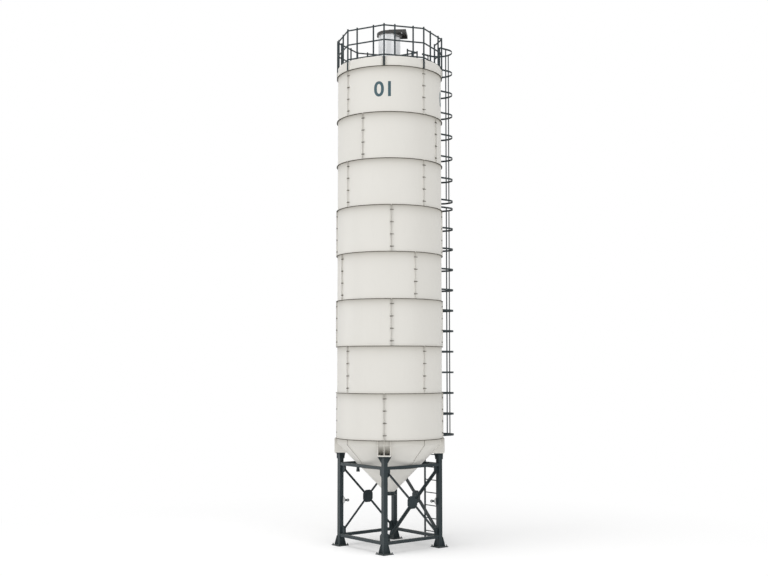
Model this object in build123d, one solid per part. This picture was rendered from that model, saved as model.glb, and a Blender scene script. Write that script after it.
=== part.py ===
"""Cement silo: a bolted sheet-metal shell on four legs, with hopper, roof, guard rail and ladder.

Lengths are in millimetres. The origin is on the ground at the silo's axis and +Z is up.
The legs stand at the corners (+-X, +-Y). The open side of the frame faces -Y and the ladder +Y.
"""
from build123d import *
from math import atan2, cos, degrees, hypot, radians, sin, sqrt, tan
import os

# Shell
SHELL_R = 1440.0            # outside radius of the sheet
SHEET = 4.0                 # sheet thickness of rings, roof and hopper
RING_COUNT = 8
RING_H = 1250.0             # pitch of the rings
LOW_RING_H = 1225.0         # the lowest ring is a little shorter
SHELL_Z = 2935.0            # underside of the lowest ring
FLANGE = 35.0               # width of the folded flanges
PANELS = 4                  # sheet panels in each ring
SEAM_GAP = 0.6              # joint between two panels
SEAM_ANGLES = [0.0, 21.0, 0.0, 52.5, 78.75, 52.5, 0.0, 45.0]   # first seam, top ring first
CLEAR = 0.3                 # between a curved face and the piece that seats on it

# Roof
SKIRT_H = 270.0             # roof skirt above the top ring
ROOF_SLOPE = 8.0            # degrees above level
ROOF_LEDGE = 35.0           # level rim on which the roof cone rests
LUG_OFFSET = 40.0           # post lug on the skirt from its post's axis

# Hopper
HOPPER_SKIRT = 135.0        # upright part under the lowest ring
HOPPER_SLOPE = 45.54        # degrees above level
HOPPER_JOINT_R = 795.0      # outside radius at the flange between the two cones
HOPPER_SEAM = 0.0
HOPPER_RIB = 16.0           # width of the folded seams and of the joint flange
OUTLET_R = 139.0            # outside radius at the lower cone's end
COLLAR_H = 94.0             # outlet collar, with its flange
COLLAR_FLANGE_R = 190.0
COLLAR_FLANGE_T = 12.0
COLLAR_BOLT_R = 7.0
COLLAR_BOLT_PCD = 330.0
COLLAR_BOLTS = 8

# Legs
LEG_INSET = 85.2            # leg's axis from the outside of the shell
LEG_W = 126.0               # square tube
LEG_ROUND = 10.0            # its rounded edges
LEG_WALL = 6.0
GUSSET_T = 10.0
BASE_W = 340.0
BASE_T = 20.0
BASE_GUSSET_H = 250.0
BASE_GUSSET_SPAN = 158.0    # gusset's tip from the leg's axis
BASE_GUSSET_TIP = 30.0      # height of the tip
BASE_GUSSET_TOP = 10.0      # width of the gusset's upper end
ANCHOR_R = 11.0
ANCHOR_OFFSET = 140.0       # anchor hole from the leg's axis, along X and Y
CAP_W = 340.0               # across the radius
CAP_D = 240.0               # along the radius
CAP_SHIFT = 8.0             # cap's centre from the leg's, towards the silo's axis
CAP_T = 20.0
CAP_GUSSET_H = 150.0
CAP_GUSSET_TIP = 20.0
CAP_GUSSET_TOES = (16.0, 4.0)   # width of the gussets' lower ends, along and across the radius
CAP_SETBACK = 3.0           # gusset behind the plate's edge

# Leg brackets on the hopper
BRACKET_H = 410.0           # cap plate to the lowest ring
BRACKET_T = 30.0
BRACKET_LIP_IN = 56.0       # plate beyond the leg's cap, towards the axis
BRACKET_LIP_OUT = 23.0      # plate beyond the ring's flange
BRACKET_FIN_T = 12.0
BRACKET_CHAMFER = 26.0

# Beams and braces
BEAM = 80.0                 # square tube
BEAM_WALL = 5.0
BEAM_OUT = 12.0             # beams outside the legs' axes
BEAM_GAP = 4.0              # top beam from the hopper's ribs
BOTTOM_BEAM_Z = 280.0
BRACE_RAISE = 18.0          # brace centre above the middle of the two beams
BRACE_PLATE = 340.0
BRACE_PLATE_CUT = 90.0      # corner cut, along each edge
PLATE_T = 8.0
CORNER_PLATE_W = 126.0
CORNER_PLATE_H = 200.0
CORNER_PLATE_CUT = 60.0     # cut at the end away from the beam
ANGLE_W = 63.0
ANGLE_T = 6.0
ANGLE_START = 150.0         # inner end of a brace bar from the centre
BRACE_EDGES = {"right": (-1, -1), "back": (1, -1), "left": (1, -1)}   # upper or lower edge with a leg

# Guard rail
GUARD_OUT = 29.0            # corner posts outside the shell
GUARD_SIDES = 8
POST_R = 22.0
RAIL_R = 20.2
LOW_RAIL_H = 40.0           # above the roof skirt
MID_RAIL_H = 445.0
TOP_RAIL_H = 843.0
POST_TOP = 28.0             # post above the top rail's axis
POST_SHARES = [(0.36, 0.8), (), (0.22,), (0.28, 0.73),
               (0.34, 0.81), (0.12, 0.55), (0.26, 0.71), (0.27, 0.73)]   # posts along each side
ENTRY_SIDE = 2              # corner without a post, at the ladder
ENTRY_LEFT = 415.0          # end posts of the entry from the ladder's centre
ENTRY_RIGHT = 410.4
ENTRY_RAIL = 370.0          # hand rail from the left end post to its own post on the roof

# Ladder and cage
LADDER_X = 72.0             # ladder's centre
LADDER_OUT = 80.0           # ladder's plane outside the shell
LADDER_HALF = 338.0         # stile from the ladder's centre
LADDER_FOOT = 60.0
LADDER_TOP = 850.0          # stile's top above the roof skirt
LADDER_JOINT_RING = 5       # the two lengths meet above this ring joint
LADDER_JOINT_RISE = 340.0
STILE_W = 25.0
STILE_D = 50.0
RUNG_R = 14.0
RUNG_RISE = 200.0           # first rung above the stiles' foot
RUNG_PITCH = 357.0
RUNG_END = 70.0             # no rung higher than this above the roof skirt
BRACKET_GAP = 3.0           # ladder brackets from the sheet
LADDER_BRACKET_T = 8.0
CAGE_SIDE = 55.0            # hoop's outside from the stile's axis
CAGE_OUT = 276.0            # centre of the hoops' round part from the ladder's plane
CAGE_BAR_OUT = 204.0        # side bars from the ladder's plane
CAGE_BAR = 40.0
CAGE_LOW = 20.0             # first hoop above the lowest ring's underside
CAGE_JOINT_LOW = 99.0       # lower cage's last hoop below the ladder's joint
CAGE_JOINT_HIGH = 120.0     # upper cage's first hoop above it
CAGE_TOP = 21.0             # upper cage's last hoop below the stiles' top
CAGE_COUNTS = (12, 8)
HOOP_H = 50.0
HOOP_T = 6.0
HOOP_TAB = 30.0

# Filter on the roof
FILTER_R = 308.0
FILTER_WALL = 3.0
FILTER_H = 820.0
FILTER_FLANGE_R = 340.0
FILTER_FLANGE_T = 10.0
CAP_R = 353.0
CAP_H = 92.0
CAP_ROUND = 25.0
HOOD_X = 495.0              # far edge of the rain hood from the axis
HOOD_Y = (-353.0, 262.0)
HOOD_ANGLE = 45.0           # direction of the hood
HOOD_WALL = 3.0

# Fill pipe
PIPE_R = 44.5
PIPE_WALL = 4.0
PIPE_OUT = 115.0            # pipe's axis outside the shell
PIPE_ANGLE = 176.0
PIPE_Z = 1950.0             # lower end
PIPE_DROP = 260.0           # axis of the inlet below the top ring's upper edge
PIPE_BEND = 110.0
PAD_T = 12.0                # pad round the inlet, on the ring's face
PAD_RIM = 22.0
TAB_W = 40.0                # tabs and clamps that hold the pipe to the ring joints
TAB_T = 8.0
TAB_GAP = 8.0               # tab from the sheet
CLAMP_H = 28.0
CLAMP_T = 5.0
COUPLING_R = 52.0
COUPLING_WALL = 10.0
COUPLING_H = 60.0
COUPLING_BAND = 25.0        # height of the lower band
COUPLING_LIP = 8.0          # height of the upper lip
COUPLING_BEVEL = 5.0

# Eye fittings on two legs
FITTING_Z = 1225.0
FITTING_R = 108.0           # light cone
FITTING_NECK_R = 46.0
FITTING_H = 42.0
SADDLE_W = 80.0             # black saddle on the leg's edge
SADDLE_H = 170.0
SHANK_R = 28.0
EYE_OUT = 74.0              # eye from the cone's flat end
EYE_R = 38.0
EYE_T = 40.0
EYE_HOLE_R = 13.0

# Worked out from the sizes above
TOP_Z = SHELL_Z + LOW_RING_H + (RING_COUNT - 1) * RING_H
JOINT_ZS = [SHELL_Z] + [TOP_Z - k * RING_H for k in reversed(range(RING_COUNT))]
SKIRT_TOP_Z = TOP_Z + SKIRT_H
ROOF_RISE = tan(radians(ROOF_SLOPE))
SLOPE = radians(HOPPER_SLOPE)
HOPPER_BEND = (1 - sin(SLOPE)) / cos(SLOPE)
KNUCKLE_Z = SHELL_Z - HOPPER_SKIRT
HOPPER_JOINT_Z = KNUCKLE_Z - (SHELL_R - HOPPER_JOINT_R) * tan(SLOPE)
OUTLET_Z = HOPPER_JOINT_Z - (HOPPER_JOINT_R - OUTLET_R) * tan(SLOPE)
SHEET_ACROSS = SHEET / sin(SLOPE)
LEG_C = round((SHELL_R - LEG_INSET) / sqrt(2))
LEG_AXIS_R = LEG_C * sqrt(2)
LEG_FACE = LEG_W / 2
LEG_EDGE = LEG_FACE * sqrt(2)
CAP_Z = SHELL_Z - BRACKET_H
RIB_ACROSS = HOPPER_RIB / sin(SLOPE)
BEAM_C = LEG_C + BEAM_OUT
BEAM_TOP = KNUCKLE_Z - (SHELL_R + RIB_ACROSS + BEAM_GAP - BEAM_C + BEAM / 2) * tan(SLOPE)
TOP_BEAM_Z = BEAM_TOP - BEAM / 2
BRACE_Z = (BOTTOM_BEAM_Z + TOP_BEAM_Z) / 2 + BRACE_RAISE
CORNER_LOW_Z = BOTTOM_BEAM_Z + BEAM / 2
CORNER_HIGH_Z = TOP_BEAM_Z - BEAM / 2
CORNER_X = LEG_C - LEG_FACE - CORNER_PLATE_W / 2
GUARD_R = SHELL_R + GUARD_OUT
POST_HOLLOW_R = max(POST_R, RAIL_R / cos(radians(180.0 / GUARD_SIDES))) + CLEAR
RAIL_ZS = [SKIRT_TOP_Z + LOW_RAIL_H, SKIRT_TOP_Z + MID_RAIL_H, SKIRT_TOP_Z + TOP_RAIL_H]
POST_TOP_Z = RAIL_ZS[-1] + POST_TOP
LADDER_Y = SHELL_R + LADDER_OUT
LADDER_JOINT_Z = JOINT_ZS[LADDER_JOINT_RING] + LADDER_JOINT_RISE
LADDER_TOP_Z = SKIRT_TOP_Z + LADDER_TOP
RUNG_END_Z = SKIRT_TOP_Z + RUNG_END
CAGE_HALF = LADDER_HALF + CAGE_SIDE
CAGE_Y = LADDER_Y + CAGE_OUT
CAGES = [(SHELL_Z + CAGE_LOW, LADDER_JOINT_Z - CAGE_JOINT_LOW, CAGE_COUNTS[0]),
         (LADDER_JOINT_Z + CAGE_JOINT_HIGH, LADDER_TOP_Z - CAGE_TOP, CAGE_COUNTS[1])]
FILTER_Z = SKIRT_TOP_Z + (SHELL_R - FILTER_FLANGE_R) * ROOF_RISE
FILTER_TOP_Z = FILTER_Z + FILTER_H
PIPE_AXIS_R = SHELL_R + PIPE_OUT
PIPE_TOP_Z = TOP_Z - PIPE_DROP
CORNERS = [(1, 1), (-1, 1), (-1, -1), (1, -1)]
SIDE_TURNS = {"front": 0.0, "right": 90.0, "back": 180.0, "left": 270.0}


def polar(radius, angle, z=0.0):
    """Point at a radius and an angle in degrees."""
    return (radius * cos(radians(angle)), radius * sin(radians(angle)), z)


def profile(points):
    """Closed face in the XZ plane from (radius, height) pairs."""
    return make_face(Polyline(*[(r, 0, z) for r, z in points], close=True))


def turned(points, arc=360.0):
    """Solid of revolution about the Z axis."""
    return revolve(profile(points), axis=Axis.Z, revolution_arc=arc)


def plate(points, thickness, offset=0.0):
    """Upright plate in the XZ plane, from y = offset to y = offset + thickness."""
    return extrude(Pos(0, offset, 0) * profile(points), amount=thickness, dir=(0, 1, 0))


def block(x0, x1, y0, y1, z0, z1):
    """Box between two corners."""
    return Pos((x0 + x1) / 2, (y0 + y1) / 2, (z0 + z1) / 2) * Box(x1 - x0, y1 - y0, z1 - z0)


def rod(start, end, radius):
    """Round bar between two points."""
    start, end = Vector(*start), Vector(*end)
    plane = Plane(origin=start, z_dir=end - start)
    return extrude(plane * Circle(radius), amount=(end - start).length)


def solids(shape):
    """All solids of a shape, as a list."""
    return list(shape.solids())


def largest(shape):
    """The main solid of a cut shape."""
    return max(solids(shape), key=lambda piece: piece.volume)


def save(name, *shapes):
    """One STEP file for a node, from every solid of its shapes."""
    found = [solid for shape in shapes for solid in solids(shape)]
    export_step(found[0] if len(found) == 1 else Compound(children=found), f"parts/{name}.step")


def panels(points, rib_points, seam, radius):
    """Sheet panels round the axis, each with a folded rib at both ends."""
    gap = degrees(SEAM_GAP / radius)
    arc = 360.0 / PANELS - gap
    sheet = turned(points, arc)
    first = plate(rib_points, SHEET)
    last = Rot(0, 0, arc) * plate(rib_points, SHEET, -SHEET)
    panel = sheet + first + last
    return [Rot(0, 0, seam + gap / 2 + k * 360.0 / PANELS) * panel for k in range(PANELS)]


def ring_profile(z0, z1):
    """Upright sheet with an outward flange at both ends, and its seam rib."""
    inner, outer, middle = SHELL_R - SHEET, SHELL_R + FLANGE, SHEET / 2
    sheet = [(inner, z0), (outer, z0), (outer, z0 + SHEET), (SHELL_R, z0 + SHEET),
             (SHELL_R, z1 - SHEET), (outer, z1 - SHEET), (outer, z1), (inner, z1)]
    rib = [(SHELL_R - middle, z0 + middle), (outer, z0 + middle),
           (outer, z1 - middle), (SHELL_R - middle, z1 - middle)]
    return sheet, rib


def shell_rings():
    """The rings from the top down, as lists of panels."""
    rings = []
    for k in range(RING_COUNT):
        z1 = TOP_Z - k * RING_H
        sheet, rib = ring_profile(JOINT_ZS[RING_COUNT - k - 1], z1)
        rings.append(panels(sheet, rib, SEAM_ANGLES[k], SHELL_R))
    inlet = rod(polar(SHELL_R - FLANGE, PIPE_ANGLE, PIPE_TOP_Z),
                polar(SHELL_R + FLANGE, PIPE_ANGLE, PIPE_TOP_Z), PIPE_R - PIPE_WALL)
    rings[0] = [panel - inlet for panel in rings[0]]
    return rings


def roof_skirt():
    """Low ring that carries the roof: flange below, level rim turned in above, lugs beside the posts."""
    inner, outer, middle = SHELL_R - SHEET, SHELL_R + FLANGE, SHEET / 2
    rim = SHELL_R - ROOF_LEDGE
    z0, z1 = TOP_Z, SKIRT_TOP_Z - SHEET
    sheet = [(inner, z0), (outer, z0), (outer, z0 + SHEET), (SHELL_R, z0 + SHEET),
             (SHELL_R, z1), (rim, z1), (rim, z1 - SHEET), (inner, z1 - SHEET)]
    rib = [(SHELL_R - middle, z0 + middle), (outer, z0 + middle),
           (outer, z1 - FLANGE), (SHELL_R - middle, z1)]
    seam = degrees(LUG_OFFSET / SHELL_R)
    lug = plate(rib, SHEET, -middle)
    corner = 360.0 / GUARD_SIDES
    skirt = []
    for k, panel in enumerate(panels(sheet, rib, seam, SHELL_R)):
        start = k * 360.0 / PANELS
        for angle in (corner - seam, corner + seam, 2 * corner - seam):
            panel += Rot(0, 0, start + angle) * lug
        skirt.append(panel)
    return skirt


def roof_envelope():
    """Solid under the roof's top face, used to fit the posts that stand on it."""
    return turned([(0, TOP_Z + SHEET), (SHELL_R, TOP_Z + SHEET), (SHELL_R, SKIRT_TOP_Z + CLEAR),
                   (FILTER_FLANGE_R, FILTER_Z + CLEAR), (0, FILTER_Z + CLEAR)])


def roof_cone():
    """Shallow cone with a level rim and a level seat for the filter."""
    rim = SHELL_R - ROOF_LEDGE
    bore = FILTER_R - FILTER_WALL
    return turned([(SHELL_R, SKIRT_TOP_Z - SHEET), (SHELL_R, SKIRT_TOP_Z), (FILTER_FLANGE_R, FILTER_Z),
                   (bore, FILTER_Z), (bore, FILTER_Z - SHEET), (FILTER_FLANGE_R, FILTER_Z - SHEET),
                   (rim, SKIRT_TOP_Z - SHEET)])


def hopper_upper():
    """Upright skirt and upper cone, in four panels with flanges."""
    outer, joint = SHELL_R + FLANGE, HOPPER_JOINT_R + HOPPER_RIB
    rib_r, middle = SHELL_R + HOPPER_RIB, SHEET / 2
    low = HOPPER_JOINT_Z + SHEET
    low_r = HOPPER_JOINT_R + SHEET / tan(SLOPE)
    sheet = [(SHELL_R - SHEET, SHELL_Z), (outer, SHELL_Z), (outer, SHELL_Z - SHEET),
             (SHELL_R, SHELL_Z - SHEET), (SHELL_R, KNUCKLE_Z), (low_r, low), (joint, low),
             (joint, HOPPER_JOINT_Z), (HOPPER_JOINT_R - SHEET_ACROSS, HOPPER_JOINT_Z),
             (SHELL_R - SHEET, KNUCKLE_Z + SHEET * HOPPER_BEND)]
    rib = [(SHELL_R - middle, SHELL_Z - middle), (rib_r, SHELL_Z - middle),
           (rib_r, KNUCKLE_Z - HOPPER_RIB * HOPPER_BEND),
           (HOPPER_JOINT_R + RIB_ACROSS, HOPPER_JOINT_Z + middle),
           (HOPPER_JOINT_R, HOPPER_JOINT_Z + middle), (SHELL_R - middle, KNUCKLE_Z + middle * HOPPER_BEND)]
    return panels(sheet, rib, HOPPER_SEAM, SHELL_R)


def hopper_lower():
    """Lower cone with its joint flange, in one piece."""
    joint = HOPPER_JOINT_R + HOPPER_RIB
    low = HOPPER_JOINT_Z - SHEET
    low_r = HOPPER_JOINT_R - SHEET / tan(SLOPE)
    return turned([(HOPPER_JOINT_R - SHEET_ACROSS, HOPPER_JOINT_Z), (joint, HOPPER_JOINT_Z), (joint, low),
                   (low_r, low), (OUTLET_R, OUTLET_Z), (OUTLET_R - SHEET_ACROSS, OUTLET_Z)])


def outlet_collar():
    """Short pipe under the lower cone, with a drilled flange."""
    bore = OUTLET_R - SHEET_ACROSS
    z0 = OUTLET_Z - COLLAR_H
    collar = turned([(bore, z0), (COLLAR_FLANGE_R, z0), (COLLAR_FLANGE_R, z0 + COLLAR_FLANGE_T),
                     (OUTLET_R, z0 + COLLAR_FLANGE_T), (OUTLET_R, OUTLET_Z), (bore, OUTLET_Z)])
    holes = [Pos(*polar(COLLAR_BOLT_PCD / 2, (k + 0.5) * 360.0 / COLLAR_BOLTS, z0))
             * Cylinder(COLLAR_BOLT_R, 3 * COLLAR_FLANGE_T) for k in range(COLLAR_BOLTS)]
    return collar - holes


def at_corner(shape, k):
    """Moves a piece made on the +X axis at the leg circle's radius to corner k."""
    return Rot(0, 0, 45.0 + 90.0 * k) * shape


def square_bar(half, round_off, z0, z1):
    """Upright square bar on the Z axis with rounded edges."""
    return Pos(0, 0, z0) * extrude(RectangleRounded(2 * half, 2 * half, round_off), amount=z1 - z0)


def leg_hollow(z0, z1):
    """Room for a leg in the pieces that seat on its rounded edges."""
    return square_bar(LEG_FACE + CLEAR, LEG_ROUND + CLEAR, z0, z1)


def leg_tubes():
    """Four square tubes between base and cap plates."""
    z0, z1 = BASE_T, CAP_Z - CAP_T
    tube = square_bar(LEG_FACE, LEG_ROUND, z0, z1)
    tube -= square_bar(LEG_FACE - LEG_WALL, LEG_ROUND - LEG_WALL, z0, z1)
    return [Pos(sx * LEG_C, sy * LEG_C, 0) * tube for sx, sy in CORNERS]


def leg_bases():
    """Four base plates with corner gussets and anchor holes."""
    base = block(-BASE_W / 2, BASE_W / 2, -BASE_W / 2, BASE_W / 2, 0, BASE_T)
    for sx, sy in CORNERS:
        base -= Pos(sx * ANCHOR_OFFSET, sy * ANCHOR_OFFSET, 0) * Cylinder(ANCHOR_R, 3 * BASE_T)
    root, top = LEG_EDGE - 2 * GUSSET_T, BASE_T + BASE_GUSSET_H
    fin = plate([(root, BASE_T / 2), (BASE_GUSSET_SPAN, BASE_T / 2),
                 (BASE_GUSSET_SPAN, BASE_T + BASE_GUSSET_TIP), (LEG_EDGE + BASE_GUSSET_TOP, top), (root, top)],
                GUSSET_T, -GUSSET_T / 2)
    hollow = leg_hollow(BASE_T, top + BASE_T)
    for k in range(4):
        base += Rot(0, 0, 45.0 + 90.0 * k) * fin - hollow
    return [Pos(sx * LEG_C, sy * LEG_C, 0) * base for sx, sy in CORNERS]


def leg_caps():
    """Four cap plates with gussets, square to the radius."""
    cap = block(-CAP_D / 2 - CAP_SHIFT, CAP_D / 2 - CAP_SHIFT, -CAP_W / 2, CAP_W / 2, CAP_Z - CAP_T, CAP_Z)
    root, high, low = LEG_EDGE - 2 * GUSSET_T, CAP_Z - CAP_T / 2, CAP_Z - CAP_T - CAP_GUSSET_H
    hollow = Rot(0, 0, 45) * leg_hollow(low - CAP_T, CAP_Z - CAP_T)
    reaches = (CAP_D / 2 - CAP_SHIFT, CAP_W / 2, CAP_D / 2 + CAP_SHIFT, CAP_W / 2)
    for turn, reach in enumerate(reaches):
        edge, toe = reach - CAP_SETBACK, LEG_EDGE + CAP_GUSSET_TOES[turn % 2]
        fin = plate([(root, high), (edge, high), (edge, CAP_Z - CAP_T - CAP_GUSSET_TIP),
                     (toe, low), (root, low)], GUSSET_T, -GUSSET_T / 2)
        cap += Rot(0, 0, 90.0 * turn) * (fin - hollow)
    return [at_corner(Pos(LEG_AXIS_R, 0, 0) * cap, k) for k in range(4)]


def hopper_envelope():
    """Solid of the hopper's outside, used to fit the leg brackets to it."""
    outer = SHELL_R + CLEAR
    return turned([(0, SHELL_Z), (outer, SHELL_Z), (outer, KNUCKLE_Z - CLEAR * HOPPER_BEND),
                   (HOPPER_JOINT_R + CLEAR / sin(SLOPE), HOPPER_JOINT_Z), (0, HOPPER_JOINT_Z)])


def leg_brackets():
    """Four brackets between leg caps and hopper: a plate and three fins each."""
    top, half = SHELL_Z - SHEET, CAP_W / 2
    inner, edge = LEG_AXIS_R - CAP_SHIFT - CAP_D / 2 - BRACKET_LIP_IN, SHELL_R + FLANGE
    outer = edge + BRACKET_LIP_OUT
    body = block(inner, outer, -half, half, CAP_Z, CAP_Z + BRACKET_T)
    fin_points = [(inner, CAP_Z + BRACKET_T / 2), (outer, CAP_Z + BRACKET_T / 2),
                  (outer, top - BRACKET_CHAMFER), (edge, top), (inner, top)]
    for y in (-half, -BRACKET_FIN_T / 2, half - BRACKET_FIN_T):
        body += plate(fin_points, BRACKET_FIN_T, y)
    whole = largest(body - hopper_envelope())
    return [at_corner(whole, k) for k in range(4)]


def beams(z):
    """Four square tubes between the legs' inner faces."""
    section = Rectangle(BEAM, BEAM) - Rectangle(BEAM - 2 * BEAM_WALL, BEAM - 2 * BEAM_WALL)
    reach = LEG_C - LEG_FACE
    beam = Pos(0, -BEAM_C, z) * extrude(Plane.YZ.offset(-reach) * section, amount=2 * reach)
    return [Rot(0, 0, turn) * beam for turn in SIDE_TURNS.values()]


def brace_plate():
    """Centre plate of the side that faces -Y."""
    half, inner = BRACE_PLATE / 2, BRACE_PLATE / 2 - BRACE_PLATE_CUT
    outline = [(half, -inner), (half, inner), (inner, half), (-inner, half),
               (-half, inner), (-half, -inner), (-inner, -half), (inner, -half)]
    return Pos(0, -LEG_C, BRACE_Z) * plate(outline, PLATE_T, -PLATE_T / 2)


def corner_plates():
    """Four plates in the corners between legs and beams of the side that faces -Y."""
    pieces = []
    outer, inner = CORNER_X + CORNER_PLATE_W / 2, CORNER_X - CORNER_PLATE_W / 2
    for sx in (-1, 1):
        for z, up in ((CORNER_LOW_Z, 1), (CORNER_HIGH_Z, -1)):
            end = z + up * CORNER_PLATE_H
            outline = [(sx * outer, z), (sx * inner, z), (sx * inner, end - up * CORNER_PLATE_CUT),
                       (sx * (inner + CORNER_PLATE_CUT), end), (sx * outer, end)]
            pieces.append(Pos(0, -LEG_C, 0) * plate(outline, PLATE_T, -PLATE_T / 2))
    return pieces


def brace_plates():
    """Corner plates on all four sides, centre plates on the three braced ones."""
    pieces = [Rot(0, 0, turn) * piece for turn in SIDE_TURNS.values() for piece in corner_plates()]
    return pieces + [Rot(0, 0, SIDE_TURNS[side]) * brace_plate() for side in BRACE_EDGES]


def brace_bars(edges):
    """Four angle bars of the side that faces -Y; the signs give the edge on which the legs stand.

    The first sign is for the bars that rise to the right, the second for the other two.
    """
    bars = []
    face = -LEG_C - PLATE_T / 2
    for sx in (-1, 1):
        for corner_z in (CORNER_LOW_Z + CORNER_PLATE_H / 2, CORNER_HIGH_Z - CORNER_PLATE_H / 2):
            rise = corner_z - BRACE_Z
            length = hypot(CORNER_X, rise)
            tilt = degrees(atan2(rise, sx * CORNER_X))
            stands = sx * edges[0 if sx * rise > 0 else 1]
            flat = block(ANGLE_START, length, face - ANGLE_T, face, -ANGLE_W / 2, ANGLE_W / 2)
            edge = sorted((stands * ANGLE_W / 2, stands * (ANGLE_W / 2 - ANGLE_T)))
            web = block(ANGLE_START, length, face - ANGLE_W, face, *edge)
            bars.append(Pos(0, 0, BRACE_Z) * Rot(0, -tilt, 0) * (flat + web))
    return bars


def guard_corner(k):
    """Corner k of the guard rail, in plan."""
    return polar(GUARD_R, k * 360.0 / GUARD_SIDES)[:2]


def guard_side(start, end, posts, keep_clear):
    """Three rails between two points, with upright posts, cut to the corner posts."""
    side = None
    for z in RAIL_ZS:
        rail = rod((*start, z), (*end, z), RAIL_R)
        side = rail if side is None else side + rail
    for x, y, bottom in posts:
        side += rod((x, y, bottom), (x, y, POST_TOP_Z), POST_R)
    for x, y in keep_clear:
        side -= rod((x, y, TOP_Z), (x, y, POST_TOP_Z + RAIL_R), POST_HOLLOW_R)
    return largest(side - roof_envelope())


def between(start, end, share):
    """Point on the line between two points in plan."""
    return tuple(a + (b - a) * share for a, b in zip(start, end))


def at_x(start, end, x):
    """Point on the line between two points at an x."""
    return between(start, end, (x - start[0]) / (end[0] - start[0]))


def guard_sides():
    """Eight sides; the two beside the ladder stop at the entry's end posts."""
    sides = []
    for k, shares in enumerate(POST_SHARES):
        start, end = guard_corner(k), guard_corner(k + 1)
        corners, ends = [start, end], []
        if k + 1 == ENTRY_SIDE:
            end = at_x(start, end, LADDER_X + ENTRY_RIGHT)
            corners, ends = [start], [(*end, SKIRT_TOP_Z)]
        if k == ENTRY_SIDE:
            start = at_x(start, end, LADDER_X - ENTRY_LEFT)
            corners, ends = [end], [(*start, SKIRT_TOP_Z)]
        posts = [(*between(start, end, share), RAIL_ZS[0]) for share in shares]
        sides.append(guard_side(start, end, ends + posts, corners))
    return sides


def guard_posts():
    """Corner posts on the roof skirt's flange, none at the entry."""
    return [rod((*guard_corner(k), TOP_Z + SHEET), (*guard_corner(k), POST_TOP_Z), POST_R)
            for k in range(GUARD_SIDES) if k != ENTRY_SIDE]


def entry_rail():
    """Hand rail beside the entry, on its own post on the roof."""
    x, z = LADDER_X - ENTRY_LEFT, RAIL_ZS[-1]
    corner = guard_corner(ENTRY_SIDE + 1)
    start = at_x(guard_corner(ENTRY_SIDE), corner, x)
    end = (x, start[1] - ENTRY_RAIL)
    rail = rod((*start, z), (*end, z), RAIL_R)
    post = rod((*end, SKIRT_TOP_Z), (*end, POST_TOP_Z), POST_R)
    whole = rail + post - roof_envelope()
    whole -= rod((*start, TOP_Z), (*start, POST_TOP_Z + RAIL_R), POST_R + CLEAR)
    whole -= rod((*start, z), (*corner, z), RAIL_R + CLEAR)
    return largest(whole)


def stiles(z0, z1):
    """The ladder's two upright bars."""
    y0, y1 = LADDER_Y - STILE_D / 2, LADDER_Y + STILE_D / 2
    return [block(x - STILE_W / 2, x + STILE_W / 2, y0, y1, z0, z1)
            for x in (LADDER_X - LADDER_HALF, LADDER_X + LADDER_HALF)]


def ladder(z0, z1):
    """Two stiles and the rungs between them."""
    left, right = stiles(z0, z1)
    frame = left
    x0, x1 = LADDER_X - LADDER_HALF, LADDER_X + LADDER_HALF
    z = LADDER_FOOT + RUNG_RISE
    while z < z1 - RUNG_R:
        if z > z0 + RUNG_R:
            frame += rod((x0, LADDER_Y, z), (x1, LADDER_Y, z), RUNG_R)
        z += RUNG_PITCH
    return frame + right


def ladder_brackets():
    """Flat bars from the flanges to the stiles, on top of each ring joint."""
    pieces = []
    for k in range(RING_COUNT + 1):
        z = JOINT_ZS[k] + SHEET
        for side in (-1, 1):
            x = LADDER_X + side * LADDER_HALF
            near = abs(x) - STILE_D / 2
            inner = sqrt(SHELL_R ** 2 - near ** 2) + BRACKET_GAP
            pieces.append(block(x - STILE_D / 2, x + STILE_D / 2, inner, LADDER_Y - STILE_D / 2,
                                z, z + LADDER_BRACKET_T))
    return pieces


def hoop(z):
    """U-shaped flat bar round the climber, with tabs to the stiles."""
    arm_y = LADDER_Y - STILE_D / 2
    inner = CAGE_HALF - HOOP_T
    centre_y, run = (arm_y + CAGE_Y) / 2, CAGE_Y - arm_y
    flat = (Pos(0, CAGE_Y) * Circle(CAGE_HALF) + Pos(0, centre_y) * Rectangle(2 * CAGE_HALF, run)
            - Pos(0, CAGE_Y) * Circle(inner) - Pos(0, centre_y) * Rectangle(2 * inner, run))
    flat -= Pos(0, arm_y - CAGE_HALF) * Rectangle(4 * CAGE_HALF, 2 * CAGE_HALF)
    bar = Pos(LADDER_X, 0, z - HOOP_H / 2) * extrude(flat, amount=HOOP_H)
    half, near, far = HOOP_TAB / 2, LADDER_HALF + STILE_W / 2, inner + HOOP_T / 2
    for side in (-1, 1):
        x0, x1 = sorted((LADDER_X + side * near, LADDER_X + side * far))
        bar += block(x0, x1, LADDER_Y - half, LADDER_Y + half, z - half, z + half)
    return largest(bar)


def cage_hoops(first, last, count):
    """Evenly spaced hoops of one cage."""
    pitch = (last - first) / (count - 1)
    return [hoop(first + k * pitch) for k in range(count)]


def cage_bars():
    """Upright flats inside the hoops: one at the back and one at each side."""
    pieces = []
    inner, half = CAGE_HALF - HOOP_T, CAGE_BAR / 2
    side_y = LADDER_Y + CAGE_BAR_OUT
    back = CAGE_Y + sqrt(inner ** 2 - half ** 2) - CLEAR
    for first, last, _ in CAGES:
        z0, z1 = first - HOOP_H / 2, last + HOOP_H / 2
        pieces.append(block(LADDER_X - half, LADDER_X + half, back - HOOP_T, back, z0, z1))
        for side in (-1, 1):
            x0, x1 = sorted((LADDER_X + side * inner, LADDER_X + side * (inner - HOOP_T)))
            pieces.append(block(x0, x1, side_y - half, side_y + half, z0, z1))
    return pieces


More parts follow.
